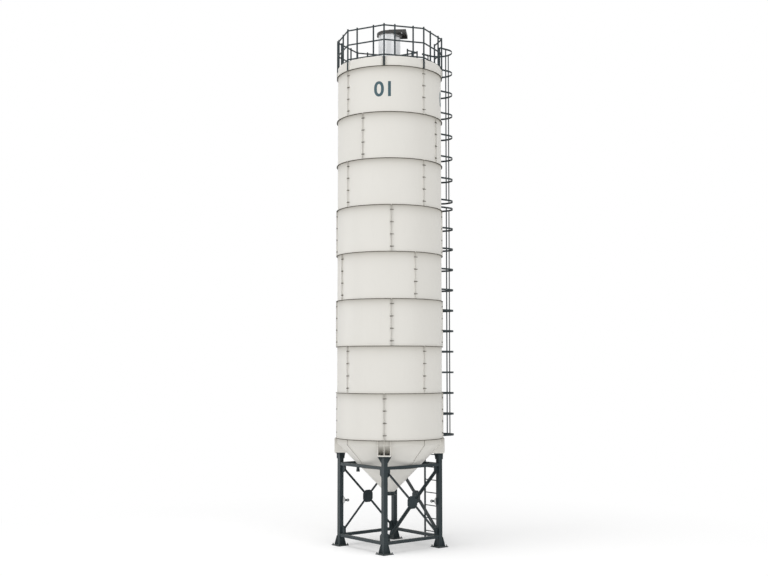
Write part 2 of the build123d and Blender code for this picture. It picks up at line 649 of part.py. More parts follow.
def filter_body():
    """Round housing with a base flange on the roof's seat."""
    bore, rim = FILTER_R - FILTER_WALL, FILTER_Z + FILTER_FLANGE_T
    return turned([(bore, FILTER_Z), (FILTER_FLANGE_R, FILTER_Z), (FILTER_FLANGE_R, rim), (FILTER_R, rim),
                   (FILTER_R, FILTER_TOP_Z), (bore, FILTER_TOP_Z)])


def filter_cap():
    """Cap over the housing, rounded at its upper edge."""
    cap = Pos(0, 0, FILTER_TOP_Z + CAP_H / 2) * Cylinder(CAP_R, CAP_H)
    return fillet(cap.edges().group_by(Axis.Z)[-1], CAP_ROUND)


def rain_hood():
    """Tray beside the cap, open below, fitted to the cap's round side."""
    y0, y1 = HOOD_Y
    z0, z1 = FILTER_TOP_Z, FILTER_TOP_Z + CAP_H
    hood = block(0, HOOD_X, y0, y1, z0, z1)
    hood -= block(0, HOOD_X - HOOD_WALL, y0 + HOOD_WALL, y1 - HOOD_WALL, z0 - HOOD_WALL, z1 - HOOD_WALL)
    hood -= Pos(0, 0, z0) * Cylinder(CAP_R + CLEAR, 4 * CAP_H)
    return Rot(0, 0, HOOD_ANGLE) * largest(hood)


def pipe_core(radius, inner_reach):
    """Solid along the pipe's axis: upright run, quarter bend and a run to the silo's wall."""
    bend_z = PIPE_TOP_Z - PIPE_BEND
    centre_r = PIPE_AXIS_R - PIPE_BEND
    upright = rod((PIPE_AXIS_R, 0, PIPE_Z), (PIPE_AXIS_R, 0, bend_z), radius)
    elbow = revolve(Pos(PIPE_AXIS_R, 0, bend_z) * Circle(radius),
                    axis=Axis((centre_r, 0, bend_z), (0, -1, 0)), revolution_arc=90)
    level = rod((centre_r, 0, PIPE_TOP_Z), (inner_reach, 0, PIPE_TOP_Z), radius)
    return upright + elbow + level


def fill_pipe():
    """Upright pipe that turns into the top ring, with tabs on the ring joints."""
    pipe = pipe_core(PIPE_R, SHELL_R - FLANGE)
    pipe += rod((SHELL_R - FLANGE, 0, PIPE_TOP_Z), (SHELL_R + PAD_T, 0, PIPE_TOP_Z), PIPE_R + PAD_RIM)
    for k in range(0, RING_COUNT, 2):
        z = JOINT_ZS[k] + SHEET
        pipe += block(SHELL_R + TAB_GAP, PIPE_AXIS_R, -TAB_W / 2, TAB_W / 2, z, z + TAB_T)
        pipe += Pos(PIPE_AXIS_R, 0, z + CLAMP_H / 2) * Cylinder(PIPE_R + CLAMP_T, CLAMP_H)
    pipe -= pipe_core(PIPE_R - PIPE_WALL, SHELL_R - 2 * FLANGE)
    pipe -= Pos(0, 0, PIPE_TOP_Z) * Cylinder(SHELL_R + CLEAR, 4 * (PIPE_R + PAD_RIM))
    return Rot(0, 0, PIPE_ANGLE) * largest(pipe)


def fill_coupling():
    """Hose coupling at the pipe's lower end."""
    bore = PIPE_R - PIPE_WALL
    neck = bore + COUPLING_WALL
    z0, band = PIPE_Z - COUPLING_H, PIPE_Z - COUPLING_H + COUPLING_BAND
    lip = PIPE_Z - COUPLING_LIP
    ring = turned([(bore, z0), (COUPLING_R, z0), (COUPLING_R, band), (neck, band + COUPLING_BEVEL),
                   (neck, lip - COUPLING_BEVEL), (COUPLING_R, lip), (COUPLING_R, PIPE_Z), (bore, PIPE_Z)])
    return Rot(0, 0, PIPE_ANGLE) * (Pos(PIPE_AXIS_R, 0, 0) * ring)


def fitting_place(shape):
    """Copies of a piece made at the axis, pointing up, on the inner edges of two opposite legs."""
    placed = Pos(LEG_AXIS_R - LEG_EDGE, 0, FITTING_Z) * Rot(0, -90, 0) * shape
    return [at_corner(placed, k) for k in (0, 2)]


def leg_fittings():
    """Shallow cones with a bore for the stub's shank."""
    bore = SHANK_R + CLEAR
    return fitting_place(turned([(bore, 0), (FITTING_R, 0), (FITTING_NECK_R, FITTING_H), (bore, FITTING_H)]))


def fitting_stubs():
    """Eyes whose shank passes through the cone to a saddle on the leg's edge."""
    eye_z = FITTING_H + EYE_OUT
    saddle = block(-SADDLE_H / 2, SADDLE_H / 2, -SADDLE_W / 2, SADDLE_W / 2, -SADDLE_W / 2, 0)
    saddle -= Pos(0, 0, -LEG_EDGE) * Rot(0, 90, 0) * Rot(0, 0, 45) * leg_hollow(-SADDLE_H, SADDLE_H)
    stub = largest(saddle) + rod((0, 0, -CLEAR), (0, 0, eye_z), SHANK_R)
    stub += Pos(0, 0, eye_z) * Rot(90, 0, 0) * Cylinder(EYE_R, EYE_T)
    stub -= Pos(0, 0, eye_z) * Rot(90, 0, 0) * Cylinder(EYE_HOLE_R, 2 * EYE_T)
    return fitting_place(stub)


def main():
    os.makedirs("parts", exist_ok=True)
    for k, ring in enumerate(shell_rings(), start=1):
        save(f"ring_{k}", *ring)
    save("roof_skirt", *roof_skirt())
    save("roof_cone", roof_cone())
    save("hopper_upper", *hopper_upper())
    save("hopper_lower", hopper_lower())
    save("outlet_collar", outlet_collar())
    save("leg_tubes", *leg_tubes())
    save("leg_bases", *leg_bases())
    save("leg_caps", *leg_caps())
    save("leg_brackets", *leg_brackets())
    save("bottom_beams", *beams(BOTTOM_BEAM_Z))
    save("top_beams", *beams(TOP_BEAM_Z))
    save("brace_plates", *brace_plates())
    for side, edges in BRACE_EDGES.items():
        save(f"brace_{side}", *[Rot(0, 0, SIDE_TURNS[side]) * bar for bar in brace_bars(edges)])
    sides = guard_sides()
    for name, first in (("right", 7), ("back", 1), ("left", 3), ("front", 5)):
        save(f"guard_{name}", sides[first], sides[(first + 1) % GUARD_SIDES])
    save("guard_posts", *guard_posts())
    save("entry_rail", entry_rail())
    save("ladder_lower", ladder(LADDER_FOOT, LADDER_JOINT_Z))
    save("ladder_upper", ladder(LADDER_JOINT_Z, RUNG_END_Z))
    save("ladder_grips", *stiles(RUNG_END_Z, LADDER_TOP_Z))
    save("ladder_brackets", *ladder_brackets())
    save("cage_hoops_lower", *cage_hoops(*CAGES[0]))
    save("cage_hoops_upper", *cage_hoops(*CAGES[1]))
    save("cage_bars", *cage_bars())
    save("filter_body", filter_body())
    save("filter_cap", filter_cap())
    save("rain_hood", rain_hood())
    save("fill_pipe", fill_pipe())
    save("fill_coupling", fill_coupling())
    save("leg_fittings", *leg_fittings())
    save("fitting_stubs", *fitting_stubs())


main()
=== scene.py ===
"""Cement silo: finishes, fasteners, marking and stage around the fixed frame.

The file is laid out as an add-on. Sizes are in metres, in the frame's own place.
"""
from math import atan2, cos, degrees, pi, radians, sin, sqrt

import bmesh
import bpy
from mathutils import Matrix, Vector


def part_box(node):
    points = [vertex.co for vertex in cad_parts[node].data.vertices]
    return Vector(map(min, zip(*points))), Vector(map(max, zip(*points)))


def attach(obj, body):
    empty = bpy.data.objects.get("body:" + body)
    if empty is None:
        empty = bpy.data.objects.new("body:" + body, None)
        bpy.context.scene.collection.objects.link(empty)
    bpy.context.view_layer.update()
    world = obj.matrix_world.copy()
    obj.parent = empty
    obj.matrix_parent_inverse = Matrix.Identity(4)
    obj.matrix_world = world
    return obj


bl_info = {
    "name": "Cement silo looks",
    "version": (1, 0, 0),
    "blender": (4, 5, 0),
    "location": "3D View > Sidebar > Silo",
    "description": "Finishes, fasteners and stage of a bolted cement silo",
    "category": "Object",
}

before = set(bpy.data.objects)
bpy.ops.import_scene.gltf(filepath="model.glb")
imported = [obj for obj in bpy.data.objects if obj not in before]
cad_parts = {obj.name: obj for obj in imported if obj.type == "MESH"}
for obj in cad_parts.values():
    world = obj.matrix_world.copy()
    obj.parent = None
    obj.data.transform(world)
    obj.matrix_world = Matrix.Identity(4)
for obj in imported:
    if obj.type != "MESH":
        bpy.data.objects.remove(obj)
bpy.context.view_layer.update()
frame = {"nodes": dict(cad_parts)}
NODES = frame["nodes"]

# Shell and hopper of the fixed frame, which the added pieces follow
RING_COUNT = 8
PANELS = 4
SEAM_ANGLES = [0.0, 21.0, 0.0, 52.5, 78.75, 52.5, 0.0, 45.0]   # one seam of each ring, from the top
SHELL_FLANGE = 0.035
SHELL_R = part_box("ring_2")[1].x - SHELL_FLANGE
RING_Z = [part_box(f"ring_{k + 1}")[0].z for k in range(RING_COUNT)]
RING_TOP = [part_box(f"ring_{k + 1}")[1].z for k in range(RING_COUNT)]
RING_H = RING_TOP[0] - RING_Z[0]
TOP_Z, SHELL_Z = RING_TOP[0], RING_Z[-1]
SEAM_BOLT_END = 0.135       # end bolts of a seam from the ring's edges
SEAM_BOLT_OUT = 0.55        # bolts' place across the seam flanges, as a share
SEAL_PROUD, SEAL_SUNK = 0.0015, 0.002      # seals out of their edges and into them
NUMBER_PROUD, NUMBER_ANGLE = 0.0012, -45.0
HOPPER_RIB = 0.016
HOPPER_JOINT_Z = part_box("hopper_upper")[0].z
HOPPER_JOINT_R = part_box("hopper_lower")[1].x - HOPPER_RIB
KNUCKLE_Z = SHELL_Z - 0.135
OUTLET_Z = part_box("outlet_collar")[1].z
OUTLET_R = 0.139            # cone's outside where the outlet collar meets it

# Leg frame
CORNERS = [(1, 1), (-1, 1), (-1, -1), (1, -1)]
LEG_FACE = 0.063
LEG_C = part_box("leg_tubes")[1].x - LEG_FACE
LEG_AXIS_R = LEG_C * sqrt(2)
LEG_FLAT = 0.055            # half of a leg's flat side, inside its rounded edges
BASE_T = 0.02
ANCHOR_OFFSET = 0.14
FIN_ROOT, FIN_TOE, FIN_TOP = 0.086, 0.154, 0.264
FIN_SIDE = 0.006            # beads from the middle of a foot's fin
CAP_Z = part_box("leg_caps")[1].z
CAP_T = 0.02
BRACKET_T = 0.03
CAP_BOLTS_ALONG = (-0.093, 0.077)
CAP_BOLTS_ACROSS = (-0.082, 0.082)
BEAM = 0.08
BEAM_Y = LEG_C + 0.012
BEAM_ZS = [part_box("bottom_beams")[0].z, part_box("top_beams")[0].z]
PLATE_T = 0.008
PLATE_W, PLATE_H = 0.126, 0.2
PLATE_X = LEG_C - LEG_FACE - PLATE_W / 2
PLATE_ZS = [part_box("brace_plates")[0].z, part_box("brace_plates")[1].z]
BRACED = [90.0, 180.0, 270.0]     # turns of the braced sides from the open one
BRACE_Z = sum(PLATE_ZS) / 2 + 0.018
BRACE_START, BRACE_CONTACT = 0.15, 0.176
BRACE_BOLTS = (0.022, 0.058)      # from a bar's outer end
BRACE_BEAD = 0.028                # half of the bead across a bar's end
BRACE_BEAD_SIDE = 1.12            # beads along a bar, as a share of it
THIN_BEAD = 0.8                   # beads of thin plates, as a share of the others
ANGLE_T = 0.006

# Ladder, cage, pipe, guard rail and filter
LADDER_X, LADDER_Y, LADDER_HALF = 0.072, SHELL_R + 0.08, 0.338
STILE_W = 0.025
SPLICE = (0.006, 0.036, 0.18)     # thickness, width and height of a splice plate
LADDER_JOINT_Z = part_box("ladder_lower")[1].z
CAGE_HALF, CAGE_Y = 0.393, LADDER_Y + 0.276
CAGE_BAR_Y = LADDER_Y + 0.204
CAGE_NUT_IN = 0.0125              # back bar's nuts from the hoops' outside
HOOPS = [("cage_hoops_lower", 12), ("cage_hoops_upper", 8)]
HOOP_H, HOOP_T = 0.05, 0.006
JOINT_BOLT_GRIP = 0.016           # two flanges and a bracket or tab
JOINT_BOLT_RISE = 0.004
LADDER_BOLT_R, PIPE_BOLT_R = SHELL_R + 0.02, SHELL_R + 0.021
PIPE_ANGLE = 176.0
GUARD_NODES = ["guard_posts", "guard_front", "guard_right", "guard_back", "guard_left", "entry_rail"]
FEWEST_POSTS = 12
POST_CAP_R, POST_CAP_H, POST_CAP_ROUND = 0.0218, 0.02, 0.010
FILTER_R = 0.308
FILTER_FLANGE_T = 0.01
LATCH_ANGLES = (-100.0, 20.0, 140.0)
BAND_SHARES = (0.3, 0.64)         # bands' heights on the filter, as shares of its own

# Nodes by material; all others wear the frame's paint
SHELL_NODES = [f"ring_{k + 1}" for k in range(RING_COUNT)] + [
    "roof_skirt", "roof_cone", "hopper_upper", "hopper_lower", "leg_brackets"]
STEEL_NODES = ["filter_body"]
HOOD_NODES = ["filter_cap", "rain_hood"]
FITTING_NODES = ["leg_fittings"]

# Painted shade colours for below the ring joints and the flanges' undersides, the floor and the lamps' aim
FLANGE_SHADE_TINT = (0.20, 0.17, 0.11, 1)
UNDERSIDE_SHADE = (0.05, 0.044, 0.032, 1)
FLOOR_R, FLOOR_FADE = 90.0, (4.0, 13.0)
LAMP_AIM = Vector((0.0, 0.0, 7.0))

# Camera, found from the photograph's perspective
IMAGE_SIZE = (768, 576)
CAMERA_AZIMUTH = 50.63
CAMERA_YAW = 0.294
CAMERA_PITCH = 4.33
CAMERA_DISTANCE = 29.78
CAMERA_HEIGHT = 4.79
FOCAL_PIXELS = 1077.6
SENSOR = 36.0


class SiloColours(bpy.types.PropertyGroup):
    """Colours of the silo's paints and metals."""
    shell: bpy.props.FloatVectorProperty(
        name="Sheet paint", description="Pale cream paint of the sheets", subtype="COLOR", size=3,
        min=0.0, max=1.0, default=(0.660, 0.645, 0.606))
    dust: bpy.props.FloatVectorProperty(
        name="Dust", description="Cement dust on paint", subtype="COLOR", size=3,
        min=0.0, max=1.0, default=(0.56, 0.54, 0.49))
    frame: bpy.props.FloatVectorProperty(
        name="Frame paint", description="Anthracite paint of legs and ladder", subtype="COLOR", size=3,
        min=0.0, max=1.0, default=(0.020, 0.030, 0.034))
    steel: bpy.props.FloatVectorProperty(
        name="Stainless steel", description="Filter housing", subtype="COLOR", size=3,
        min=0.0, max=1.0, default=(0.66, 0.67, 0.68))
    seal: bpy.props.FloatVectorProperty(
        name="Joint seal", description="Dark sealing strip in the joints", subtype="COLOR", size=3,
        min=0.0, max=1.0, default=(0.045, 0.040, 0.030))
    fitting: bpy.props.FloatVectorProperty(
        name="Leg fittings", description="Pale cones on two legs", subtype="COLOR", size=3,
        min=0.0, max=1.0, default=(0.55, 0.56, 0.56))
    hood: bpy.props.FloatVectorProperty(
        name="Cap paint", description="Grey paint of filter cap and rain hood", subtype="COLOR", size=3,
        min=0.0, max=1.0, default=(0.048, 0.047, 0.046))
    zinc: bpy.props.FloatVectorProperty(
        name="Zinc plate", description="Bolts, nuts and washers", subtype="COLOR", size=3,
        min=0.0, max=1.0, default=(0.075, 0.068, 0.052))
    marking: bpy.props.FloatVectorProperty(
        name="Marking", description="Number on the top ring", subtype="COLOR", size=3,
        min=0.0, max=1.0, default=(0.043, 0.087, 0.106))


class SiloSizes(bpy.types.PropertyGroup):
    """Sizes of the small pieces that are added to the frame."""
    seam_bolt_across: bpy.props.FloatProperty(
        name="Seam bolt width", description="Across the flats of the seam bolts' heads", unit="LENGTH",
        default=0.030, min=0.01, max=0.06)
    seam_bolt_grip: bpy.props.FloatProperty(
        name="Seam bolt grip", description="Length between head and nut", unit="LENGTH",
        default=0.0094, min=0.009, max=0.08)
    seam_bolts: bpy.props.IntProperty(
        name="Bolts a seam", description="Bolts in each upright seam of a ring", default=4, min=2, max=12)
    seal_height: bpy.props.FloatProperty(
        name="Joint seal height", description="Height of the seals in the ring joints", unit="LENGTH",
        default=0.014, min=0.004, max=0.03)
    seal_gap: bpy.props.FloatProperty(
        name="Joint seal gap", description="Gap in the joint seals at each seam", unit="LENGTH",
        default=0.024, min=0.0, max=0.1)
    seam_seal_width: bpy.props.FloatProperty(
        name="Seam seal width", description="Width of the seals on the upright seams", unit="LENGTH",
        default=0.003, min=0.002, max=0.02)
    anchor_across: bpy.props.FloatProperty(
        name="Anchor nut width", description="Across the flats of the base plates' nuts", unit="LENGTH",
        default=0.030, min=0.01, max=0.05)
    frame_bolt_across: bpy.props.FloatProperty(
        name="Frame bolt width", description="Across the flats of the leg frame's bolts", unit="LENGTH",
        default=0.024, min=0.01, max=0.05)
    ladder_bolt_across: bpy.props.FloatProperty(
        name="Ladder bolt width", description="Across the flats of ladder and cage bolts", unit="LENGTH",
        default=0.017, min=0.008, max=0.03)
    filter_bolts: bpy.props.IntProperty(
        name="Filter bolts", description="Bolts in the filter's base flange", default=12, min=4, max=36)
    number_height: bpy.props.FloatProperty(
        name="Number height", description="Height of the number on the top ring", unit="LENGTH",
        default=0.42, min=0.1, max=1.0)
    weld_radius: bpy.props.FloatProperty(
        name="Weld size", description="Radius of the weld beads", unit="LENGTH",
        default=0.006, min=0.002, max=0.02)


def polar(radius, angle, z=0.0):
    """Point at a radius and an angle in degrees."""
    return Vector((radius * cos(radians(angle)), radius * sin(radians(angle)), z))


def turn_z(angle):
    """Turn about the silo's axis, in degrees."""
    return Matrix.Rotation(radians(angle), 4, "Z")


def aimed(place, direction):
    """Matrix that puts a piece's +Z along a direction at a place."""
    return Matrix.Translation(place) @ Vector(direction).to_track_quat("Z", "Y").to_matrix().to_4x4()


def shade(bm, angle=35.0):
    """Smooth faces, with sharp edges above an angle."""
    for face in bm.faces:
        face.smooth = True
    for edge in bm.edges:
        edge.smooth = edge.calc_face_angle(0.0) < radians(angle)


def as_mesh(bm, name):
    """Turns a bmesh into a mesh and frees it."""
    mesh = bpy.data.meshes.new(name)
    bm.to_mesh(mesh)
    bm.free()
    return mesh


def discard(*meshes):
    """Removes templates that are no longer needed."""
    for mesh in meshes:
        bpy.data.meshes.remove(mesh)


def finished(name, bm, material):
    """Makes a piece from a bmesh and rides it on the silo."""
    bmesh.ops.recalc_face_normals(bm, faces=bm.faces)
    shade(bm)
    mesh = as_mesh(bm, name)
    mesh.materials.append(material)
    piece = bpy.data.objects.new(name, mesh)
    bpy.context.scene.collection.objects.link(piece)
    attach(piece, "root")
    return piece


def stamp(bm, template, matrix):
    """Adds a moved copy of a template mesh."""
    copy = template.copy()
    copy.transform(matrix)
    bm.from_mesh(copy)
    discard(copy)


def prism(bm, sides, radius, z0, z1, bevel=0.0, rounds=2):
    """Upright prism or cylinder from z0 to z1, with its top edge bevelled."""
    place = Matrix.Translation((0, 0, (z0 + z1) / 2))
    made = bmesh.ops.create_cone(bm, cap_ends=True, segments=sides, radius1=radius, radius2=radius,
                                 depth=z1 - z0, matrix=place)
    if bevel:
        rim = {v for v in made["verts"] if v.co.z > z1 - 1e-6}
        top = [e for e in bm.edges if rim.issuperset(e.verts)]
        bmesh.ops.bevel(bm, geom=top, offset=bevel, segments=rounds, profile=0.5, affect="EDGES",
                        material=-1)


def nut_template(across, height, tail=0.0):
    """Washer and hexagon along +Z from the origin, with a threaded end if it has a tail."""
    bm = bmesh.new()
    washer = 0.12 * across
    prism(bm, 20, across * 0.62, 0.0, washer, washer / 3)
    prism(bm, 6, across / sqrt(3), washer, washer + height, across * 0.05)
    if tail:
        prism(bm, 12, across * 0.30, washer + height, washer + height + tail, across * 0.05)
    return as_mesh(bm, "nut")


def bolt_template(across, grip, head, nut, tail):
    """Bolt along +Z, its grip centred on the origin, with washers, head below and nut above."""
    bm = bmesh.new()
    out = Matrix.Translation((0, 0, grip / 2))
    upper, lower = nut_template(across, nut, tail), nut_template(across, head)
    stamp(bm, upper, out)
    stamp(bm, lower, Matrix.Rotation(pi, 4, "X") @ out)
    prism(bm, 12, across * 0.30, -grip / 2, grip / 2)
    discard(upper, lower)
    return as_mesh(bm, "bolt")


def slab_template(size, bevel=0.001):
    """Box round the origin with bevelled edges."""
    bm = bmesh.new()
    bmesh.ops.create_cube(bm, size=1.0, matrix=Matrix.Diagonal((*size, 1.0)))
    bmesh.ops.bevel(bm, geom=bm.edges[:], offset=bevel, segments=2, profile=0.5, affect="EDGES", material=-1)
    return as_mesh(bm, "slab")


def bead(bm, start, end, radius):
    """Straight weld bead between two points."""
    start, end = Vector(start), Vector(end)
    bmesh.ops.create_cone(bm, cap_ends=True, segments=8, radius1=radius, radius2=radius,
                          depth=(end - start).length, matrix=aimed((start + end) / 2, end - start))


def round_bead(bm, major, minor, place):
    """Weld bead round an upright pipe."""
    ring = bmesh.new()
    turned = Matrix.Translation((major, 0, 0)) @ Matrix.Rotation(pi / 2, 4, "X")
    made = bmesh.ops.create_circle(ring, segments=8, radius=minor, matrix=turned)
    bmesh.ops.spin(ring, geom=made["verts"] + ring.edges[:], cent=(0, 0, 0), axis=(0, 0, 1), angle=2 * pi,
                   steps=32, use_merge=True)
    mesh = as_mesh(ring, "ring")
    stamp(bm, mesh, Matrix.Translation(place))
    discard(mesh)


def arc_strip(bm, radii, heights, start, end):
    """Strip of rectangular section spun round the axis, from one angle to another."""
    part = bmesh.new()
    centre = Matrix.Translation((sum(radii) / 2, 0, sum(heights) / 2)) @ Matrix.Rotation(pi / 2, 4, "X")
    section = centre @ Matrix.Diagonal((radii[1] - radii[0], heights[1] - heights[0], 1.0, 1.0))
    bmesh.ops.create_grid(part, x_segments=1, y_segments=1, size=0.5, matrix=turn_z(start) @ section)
    bmesh.ops.delete(part, geom=part.faces[:], context="FACES_ONLY")
    closed = abs(end - start - 360.0) < 1e-6
    bmesh.ops.spin(part, geom=part.verts[:] + part.edges[:], cent=(0, 0, 0), axis=(0, 0, 1),
                   angle=radians(end - start), steps=max(8, int((end - start) / 3.0)), use_merge=closed)
    if not closed:
        bmesh.ops.holes_fill(part, edges=[e for e in part.edges if e.is_boundary], sides=4)
    mesh = as_mesh(part, "strip")
    bm.from_mesh(mesh)
    discard(mesh)


def seam_strip(bm, run, angle, width):
    """Narrow strip over a folded seam, one bar for each stretch between radius and height points."""
    side = polar(1.0, angle + 90.0)
    for (r0, z0), (r1, z1) in zip(run, run[1:]):
        low, high = polar(r0, angle, z0), polar(r1, angle, z1)
        along = high - low
        out = side.cross(along.normalized())
        out *= 1.0 if out.dot(polar(1.0, angle)) > 0 else -1.0
        middle = (low + high) / 2 + out * (SEAL_PROUD - SEAL_SUNK) / 2
        turn = Matrix((side * width, out * (SEAL_PROUD + SEAL_SUNK), along)).transposed().to_4x4()
        bmesh.ops.create_cube(bm, size=1.0, matrix=Matrix.Translation(middle) @ turn)


def brace_ends():
    """Side's turn, outer end, inward direction and centre of each brace bar, as on the side facing -Y."""
    for turn in BRACED:
        for sx in (-1, 1):
            for z in (PLATE_ZS[0] + PLATE_H / 2, PLATE_ZS[1] - PLATE_H / 2):
                end = Vector((sx * PLATE_X, 0, z))
                centre = Vector((0, 0, BRACE_Z))
                yield turn_z(turn), end, (centre - end).normalized(), centre


def post_tops():
    """Centres of the upper ends of all guard rail posts, from the frame's own meshes."""
    places = []
    for name in GUARD_NODES:
        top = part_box(name)[1].z
        points = [NODES[name].matrix_world @ vertex.co for vertex in NODES[name].data.vertices]
        rims = []
        for point in [point for point in points if top - point.z < 1e-4]:
            near = [rim for rim in rims if (rim[0] - point).length < 3 * POST_CAP_R]
            if near:
                near[0].append(point)
            else:
                rims.append([point])
        for rim in rims:
            xs, ys = [point.x for point in rim], [point.y for point in rim]
            places.append(Vector(((min(xs) + max(xs)) / 2, (min(ys) + max(ys)) / 2, top)))
    return places


def new_group(name, inputs, outputs):
    """Empty shader node group with named sockets."""
    group = bpy.data.node_groups.new(name, "ShaderNodeTree")
    for label, kind, value in inputs:
        socket = group.interface.new_socket(label, in_out="INPUT", socket_type=kind)
        socket.default_value = value
    for label, kind in outputs:
        group.interface.new_socket(label, in_out="OUTPUT", socket_type=kind)
    return group, group.nodes.new("NodeGroupInput"), group.nodes.new("NodeGroupOutput")


def node(tree, kind, settings=None, **values):
    """Adds a node, sets its options and its sockets by name or number, and links sockets given as values."""
    made = tree.nodes.new(kind)
    for key, value in (settings or {}).items():
        setattr(made, key, value)
    for key, value in values.items():
        numbered = key[0] == "i" and key[1:].isdigit()
        socket = made.inputs[int(key[1:]) if numbered else key.replace("_", " ")]
        if isinstance(value, bpy.types.NodeSocket):
            tree.links.new(value, socket)
        else:
            socket.default_value = value
    return made


def calc(tree, operation, *values, clamp=False):
    """Result of a math node on values or sockets."""
    sockets = {f"i{k}": value for k, value in enumerate(values)}
    return node(tree, "ShaderNodeMath", {"operation": operation, "use_clamp": clamp}, **sockets).outputs[0]


def blend(tree, factor, first, second):
    """Mix of two colours or colour sockets."""
    return node(tree, "ShaderNodeMix", {"data_type": "RGBA"}, Factor=factor, i6=first, i7=second).outputs[2]


def ramp(tree, source, low, high):
    """Map of a value from low..high to 0..1."""
    return node(tree, "ShaderNodeMapRange", {"interpolation_type": "SMOOTHSTEP"}, Value=source,
                From_Min=low, From_Max=high).outputs["Result"]


def weather_group():
    """Paint colour with faint clouds, rain streaks and dust, and the roughness they give."""
    group, entry, leave = new_group("Weathered paint", [
        ("Paint", "NodeSocketColor", (0.7, 0.7, 0.7, 1)), ("Dust", "NodeSocketColor", (0.5, 0.5, 0.45, 1)),
        ("Streaks", "NodeSocketFloat", 0.2), ("Clouds", "NodeSocketFloat", 0.05),
        ("Settled", "NodeSocketFloat", 0.3), ("Roughness", "NodeSocketFloat", 0.4)],
        [("Colour", "NodeSocketColor"), ("Roughness", "NodeSocketFloat")])
    where = node(group, "ShaderNodeTexCoord").outputs["Object"]
    tall = node(group, "ShaderNodeMapping", Vector=where, Scale=(7.0, 7.0, 0.35)).outputs[0]
    streak = node(group, "ShaderNodeTexNoise", Vector=tall, Scale=2.2, Detail=5.0,
                  Roughness=0.6).outputs["Fac"]
    cloud = node(group, "ShaderNodeTexNoise", Vector=where, Scale=1.3, Detail=4.0).outputs["Fac"]
    streak_mask = ramp(group, streak, 0.55, 0.8)
    cloud_mask = ramp(group, cloud, 0.3, 0.75)
    normal = node(group, "ShaderNodeNewGeometry").outputs["Normal"]
    up = node(group, "ShaderNodeSeparateXYZ", Vector=normal).outputs["Z"]
    settled = calc(group, "MULTIPLY", ramp(group, up, 0.4, 0.95), entry.outputs["Settled"])
    streaks = calc(group, "MULTIPLY", streak_mask, entry.outputs["Streaks"])
    clouds = calc(group, "MULTIPLY", cloud_mask, entry.outputs["Clouds"])
    total = calc(group, "ADD", streaks, clouds, clamp=True)
    total = calc(group, "ADD", total, settled, clamp=True)
    colour = blend(group, total, entry.outputs["Paint"], entry.outputs["Dust"])
    rough = calc(group, "MULTIPLY_ADD", total, 0.35, entry.outputs["Roughness"])
    group.links.new(colour, leave.inputs["Colour"])
    group.links.new(rough, leave.inputs["Roughness"])
    return group


def surface_group():
    """Height of sprayed paint: fine orange peel, and the slow waves of thin sheet."""
    group, entry, leave = new_group("Paint surface", [
        ("Peel", "NodeSocketFloat", 0.2), ("Wave", "NodeSocketFloat", 0.0)], [("Height", "NodeSocketFloat")])
    where = node(group, "ShaderNodeTexCoord").outputs["Object"]
    peel = node(group, "ShaderNodeTexNoise", Vector=where, Scale=160.0, Detail=2.0).outputs["Fac"]
    wave = node(group, "ShaderNodeTexNoise", Vector=where, Scale=2.4, Detail=1.0).outputs["Fac"]
    fine = calc(group, "MULTIPLY", peel, entry.outputs["Peel"])
    slow = calc(group, "MULTIPLY_ADD", wave, entry.outputs["Wave"], fine)
    group.links.new(slow, leave.inputs["Height"])
    return group


def flange_shade_group():
    """Painted shade: darker below each ring joint, fading downwards, and dark on the flanges' undersides."""
    group, entry, leave = new_group("Painted flange shade", [("Reach", "NodeSocketFloat", 0.11)],
                                    [("Mask", "NodeSocketFloat"), ("Underside", "NodeSocketFloat")])
    where = node(group, "ShaderNodeTexCoord").outputs["Object"]
    z = node(group, "ShaderNodeSeparateXYZ", Vector=where).outputs["Z"]
    # Distance below the nearest ring joint above, over which the painted shade fades
    below_top = calc(group, "SUBTRACT", TOP_Z, z)
    below_ring = calc(group, "FLOORED_MODULO", below_top, RING_H)
    below_shell = calc(group, "SUBTRACT", SHELL_Z, z)
    hopper = calc(group, "GREATER_THAN", below_shell, 0.0)
    depth = node(group, "ShaderNodeMix", {"data_type": "FLOAT"}, Factor=hopper, i2=below_ring,
                 i3=below_shell).outputs[0]
    share = calc(group, "DIVIDE", depth, entry.outputs["Reach"])
    group.links.new(calc(group, "EXPONENT", calc(group, "MULTIPLY", share, -1.0)), leave.inputs["Mask"])
    # Painted shade on the downward faces beyond the shell's sheet, the flanges' undersides
    plan = node(group, "ShaderNodeVectorMath", {"operation": "MULTIPLY"}, i0=where,
                i1=(1.0, 1.0, 0.0)).outputs[0]
    radius = node(group, "ShaderNodeVectorMath", {"operation": "LENGTH"}, i0=plan).outputs["Value"]
    rim = calc(group, "GREATER_THAN", radius, SHELL_R + 0.003)
    normal = node(group, "ShaderNodeNewGeometry").outputs["True Normal"]
    facing = node(group, "ShaderNodeSeparateXYZ", Vector=normal).outputs["Z"]
    flange = calc(group, "MULTIPLY", rim, calc(group, "LESS_THAN", facing, -0.5))
    under = calc(group, "MULTIPLY", flange, calc(group, "GREATER_THAN", z, SHELL_Z - 0.02))
    group.links.new(under, leave.inputs["Underside"])
    return group


def new_material(name):
    """Empty node material with a Principled shader."""
    material = bpy.data.materials.new(name)
    material.use_nodes = True
    tree = material.node_tree
    return material, tree, tree.nodes["Principled BSDF"]


